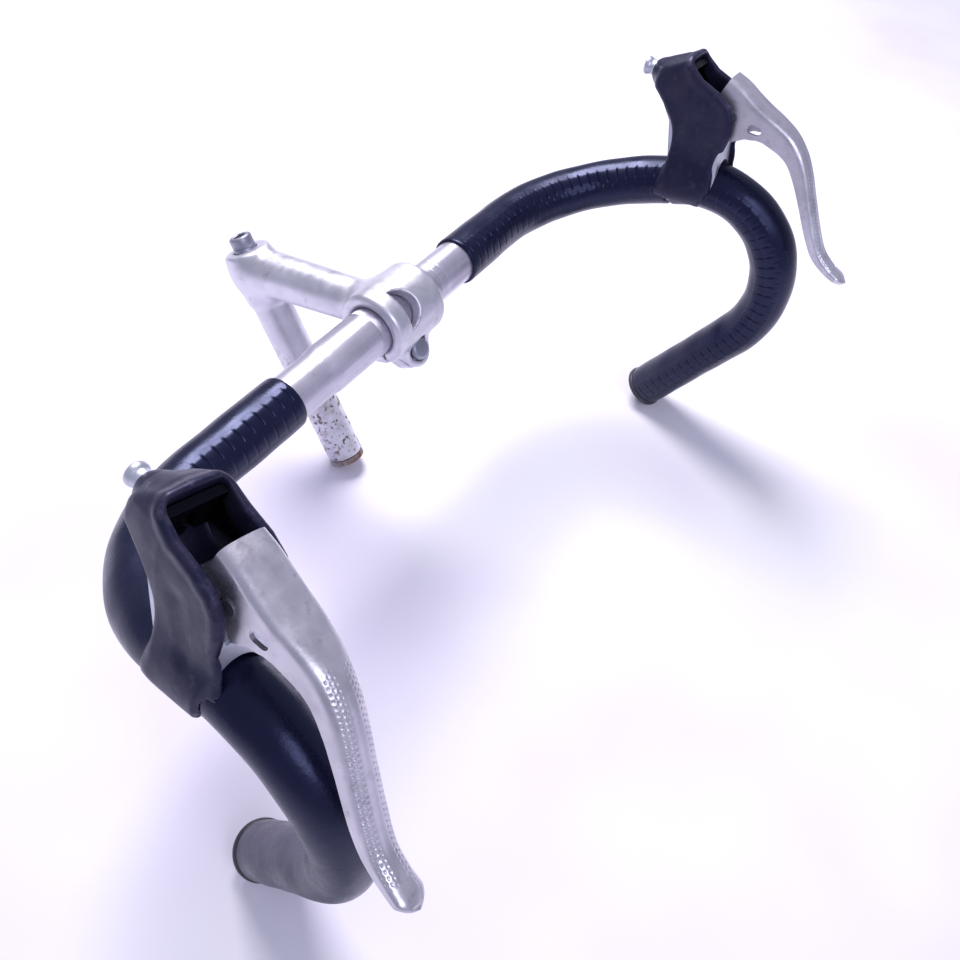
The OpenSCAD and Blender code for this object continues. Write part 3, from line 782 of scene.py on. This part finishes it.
def build_blade(side):
    line, at = open_curve(BLADE, 0.5)
    tangent = np.gradient(line, axis=0)
    tangent /= np.linalg.norm(tangent, axis=1)[:, None]
    inward = np.stack([tangent[:, 1], -tangent[:, 0]], 1)
    t = np.linspace(-math.pi / 2, math.pi / 2, 81)
    rows = []
    for i, (o, n) in enumerate(zip(line, inward)):
        x, left_over = o[0], at[-1] - at[i]
        tip = math.sqrt(max(0.02, 1 - (1 - min(left_over, 6) / 6) ** 2))
        w, depth = table(WIDTH, x) * tip, table(DEPTH, x) * (0.35 + 0.65 * tip)
        cap, power = min(5.2, depth * 0.62), 3.0 - 0.8 * np.clip((x - 45) / 20, 0, 1)
        y = w * np.sign(np.sin(t)) * np.abs(np.sin(t)) ** (2 / power)
        drop = cap * (1 - np.abs(np.cos(t)) ** (2 / power)) + dimple(y, at[i], x)
        if x > 106:  # flat recessed pad at the tip
            drop = drop + 0.5 * np.clip((x - 106) / 2, 0, 1) * (np.abs(y) < w * 0.62) * (left_over > 1.6)
        wall = 1.8 + 3.2 * np.clip((x - 97) / 6, 0, 1)
        side_n = np.linspace(cap, depth, 6)[1:]
        web = min(depth - 0.3, 1.8 + 8 * np.clip((x - 96) / 8, 0, 1))
        y_in = max(w - wall, w * 0.15)
        loop = [(-w, v) for v in side_n[::-1]] + list(zip(y, drop)) + [(w, v) for v in side_n]
        inner = [(y_in * k, web + (max(cap * 0.8, web) - web) * abs(k) ** 3) for k in np.linspace(1, -1, 9)]
        loop += [(y_in, depth)] + [(a, min(b, depth - 0.2)) for a, b in inner] + [(-y_in, depth)]
        rows.append([(o[0] + n[0] * v, u, o[1] + n[1] * v) for u, v in loop])
    count = len(rows[0])
    verts, faces = np.array(rows).reshape(-1, 3), grid_faces(len(rows), count)
    last = (len(rows) - 1) * count
    faces += [tuple(reversed(range(count))), tuple(range(last, last + count))]
    obj = make_piece(f"lever_blade_{side}_grip", verts, faces, f"{side}_lever", in_lever(side),
                     MATERIALS["lever"], (f"lever_blade_{side}",), BLADE_SHARP)
    cut_holes(obj, side)


def outwards(mesh):
    work = bmesh.new()
    work.from_mesh(mesh)
    bmesh.ops.recalc_face_normals(work, faces=work.faces)
    work.to_mesh(mesh)
    work.free()


def cut_holes(obj, side):
    outwards(obj.data)
    cutters = []
    for x, z, r, long in ((*PIVOT, 3.5, 0), (*SLOT, 2.3, 1.7)):
        a = np.arange(40) * 2 * math.pi / 40
        ring = np.stack([x + r * np.cos(a) + long * np.sign(np.cos(a)), np.zeros(40), z + r * np.sin(a)], 1)
        verts = np.vstack([ring + (0, -15, 0), ring + (0, 15, 0)])
        faces = [(i, (i + 1) % 40, 40 + (i + 1) % 40, 40 + i) for i in range(40)]
        faces += [tuple(range(39, -1, -1)), tuple(range(40, 80))]
        mesh = bpy.data.meshes.new("cutter")
        mesh.from_pydata([tuple(v) for v in shift_points(verts, in_lever(side)) * MM], [], faces)
        outwards(mesh)
        cutter = bpy.data.objects.new("cutter", mesh)
        bpy.context.scene.collection.objects.link(cutter)
        cutters.append(cutter)
        mod = obj.modifiers.new("hole", "BOOLEAN")
        mod.operation, mod.solver, mod.object = "DIFFERENCE", "EXACT", cutter
    graph = bpy.context.evaluated_depsgraph_get()
    mesh = bpy.data.meshes.new_from_object(obj.evaluated_get(graph))
    obj.modifiers.clear()
    obj.data = mesh
    mesh.set_sharp_from_angle(angle=math.radians(BLADE_SHARP))
    for cutter in cutters:
        bpy.data.objects.remove(cutter)


def build_ferrule(side):
    profile = rounded([(0.05, 13), (2.55, 13), (2.55, 0.5), (3.0, 0), (4.4, 0), (4.9, 0.9), (4.7, 2.4),
                       (4.0, 3.6), (4.15, 5.4), (5.3, 9.5), (6.5, 13.5), (6.5, 16), (3.0, 16), (3.0, 20),
                       (0.05, 20)], 0.7)
    verts, faces = lathe(profile, 56)
    place = in_lever(side) @ move(FERRULE_X, 0, FERRULE_Z) @ turn((0, 1, 0), 90)
    make_piece(f"cable_ferrule_{side}_barrel", verts, faces, f"{side}_ferrule", place, MATERIALS["body"],
               (f"cable_ferrule_{side}",))


build_stem()
build_bare_bar()
for side in SIDES:
    for part in ("upper", "lower"):
        build_sleeve(side, part)
    build_plug(side)
    build_hood(side)
    build_blade(side)
    build_ferrule(side)

# CAD pieces whose shape is right keep it and get their finish here
KEPT = {"handlebar": "bar", "expander_cone": "cone", "clamp_nut": "steel"}
for side in SIDES:
    KEPT |= {f"lever_body_{side}": "bracket", f"pivot_bushes_{side}": "body"}
    for fastener in ("clamp_band", "band_bolt", "band_nut", "pivot_pin", "cable_anchor"):
        KEPT[f"{fastener}_{side}"] = "steel"
for node, finish in KEPT.items():
    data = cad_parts[node].data
    data.materials.clear()
    data.materials.append(MATERIALS[finish])


# ---- floor, light and camera ----
def build_floor():
    """Level under the part and softly rumpled further out."""
    size, n = 3.2, 160
    xs = np.linspace(-size / 2, size / 2, n)
    gx, gy = np.meshgrid(xs, xs, indexing="ij")
    low = cad_box[0][2]
    wave = sum(a * np.sin(k[0] * gx + k[1] * gy + ph) for a, k, ph in
               [(rng.uniform(0.2, 1), rng.uniform(-9, 9, 2), rng.uniform(0, 6)) for _ in range(9)])
    away = np.clip((np.hypot(gx - 0.05, gy) - 0.3) / 0.5, 0, 1)
    gz = low - 0.0002 - 0.0022 * away * (wave - wave.min()) / np.ptp(wave)
    verts = np.stack([gx.ravel(), gy.ravel(), gz.ravel()], 1)
    faces = [tuple(reversed(f)) for f in grid_faces(n, n, wrap_cols=False)]
    mesh = bpy.data.meshes.new("floor")
    mesh.from_pydata([tuple(v) for v in verts], [], faces)
    mesh.polygons.foreach_set("use_smooth", [True] * len(mesh.polygons))
    floor = bpy.data.objects.new("floor", mesh)
    bpy.context.scene.collection.objects.link(floor)
    cloth = Paint("Floor_pale_cloth", (0.90, 0.885, 0.93), 0.9)
    cloth.tint(cloth.ramp(cloth.noise(3.0, 3), 0.4, 0.62, 0, 0.8), (0.80, 0.75, 0.90))
    cloth.bump(cloth.noise(900, 2), 0.0002, 0.3)
    mesh.materials.append(cloth.done())


def area_light(name, at, target, size, power, color):
    data = bpy.data.lights.new(name, "AREA")
    data.shape, data.size, data.energy, data.color = "DISK", size, power, color
    obj = bpy.data.objects.new(name, data)
    obj.location = at
    obj.rotation_euler = (Vector(target) - Vector(at)).to_track_quat("-Z", "Y").to_euler()
    bpy.context.scene.collection.objects.link(obj)


def build_lights():
    world = bpy.data.worlds.new("studio")
    world.use_nodes = True
    background = world.node_tree.nodes["Background"]
    background.inputs["Color"].default_value = (0.74, 0.76, 1.0, 1)
    background.inputs["Strength"].default_value = 0.5
    bpy.context.scene.world = world
    area_light("key", (-0.6, 0.5, 1.35), (0.05, 0, 0.1), 0.75, 26, (1.0, 0.97, 0.99))
    area_light("fill", (1.2, -0.6, 1.2), (0.05, 0, 0.05), 0.8, 7, (0.85, 0.85, 1.0))
    view = bpy.context.scene.view_settings
    view.view_transform = "Standard"
    view.exposure = 0.0


def build_camera():
    """Camera from the angle of view fitted to the object: azimuth, elevation, roll, place."""
    az, el, roll, dip = (math.radians(v) for v in (25.2, 49.8, 10.7, 0.85))
    back = Vector((math.sin(az) * math.cos(el), -math.cos(az) * math.cos(el), math.sin(el)))
    right = Vector((0, 0, 1)).cross(back).normalized()
    up = back.cross(right)
    level = Matrix.Rotation(dip, 3, "Y")
    axes = [level @ v for v in (math.cos(roll) * right + math.sin(roll) * up,
                                math.cos(roll) * up - math.sin(roll) * right, back)]
    data = bpy.data.cameras.new("camera")
    data.sensor_width, data.lens = 36.0, 36.0 * 938.6 / 960
    data.clip_start = 0.01
    obj = bpy.data.objects.new("camera", data)
    place = Matrix(np.array([list(v) for v in axes]).T.tolist()).to_4x4()
    place.translation = Vector(IN_BAR[:3, 3] * MM) + level @ Vector((0.2162, -0.2982, 0.3265))
    obj.matrix_world = place
    bpy.context.scene.collection.objects.link(obj)
    bpy.context.scene.camera = obj


build_floor()
build_lights()
build_camera()
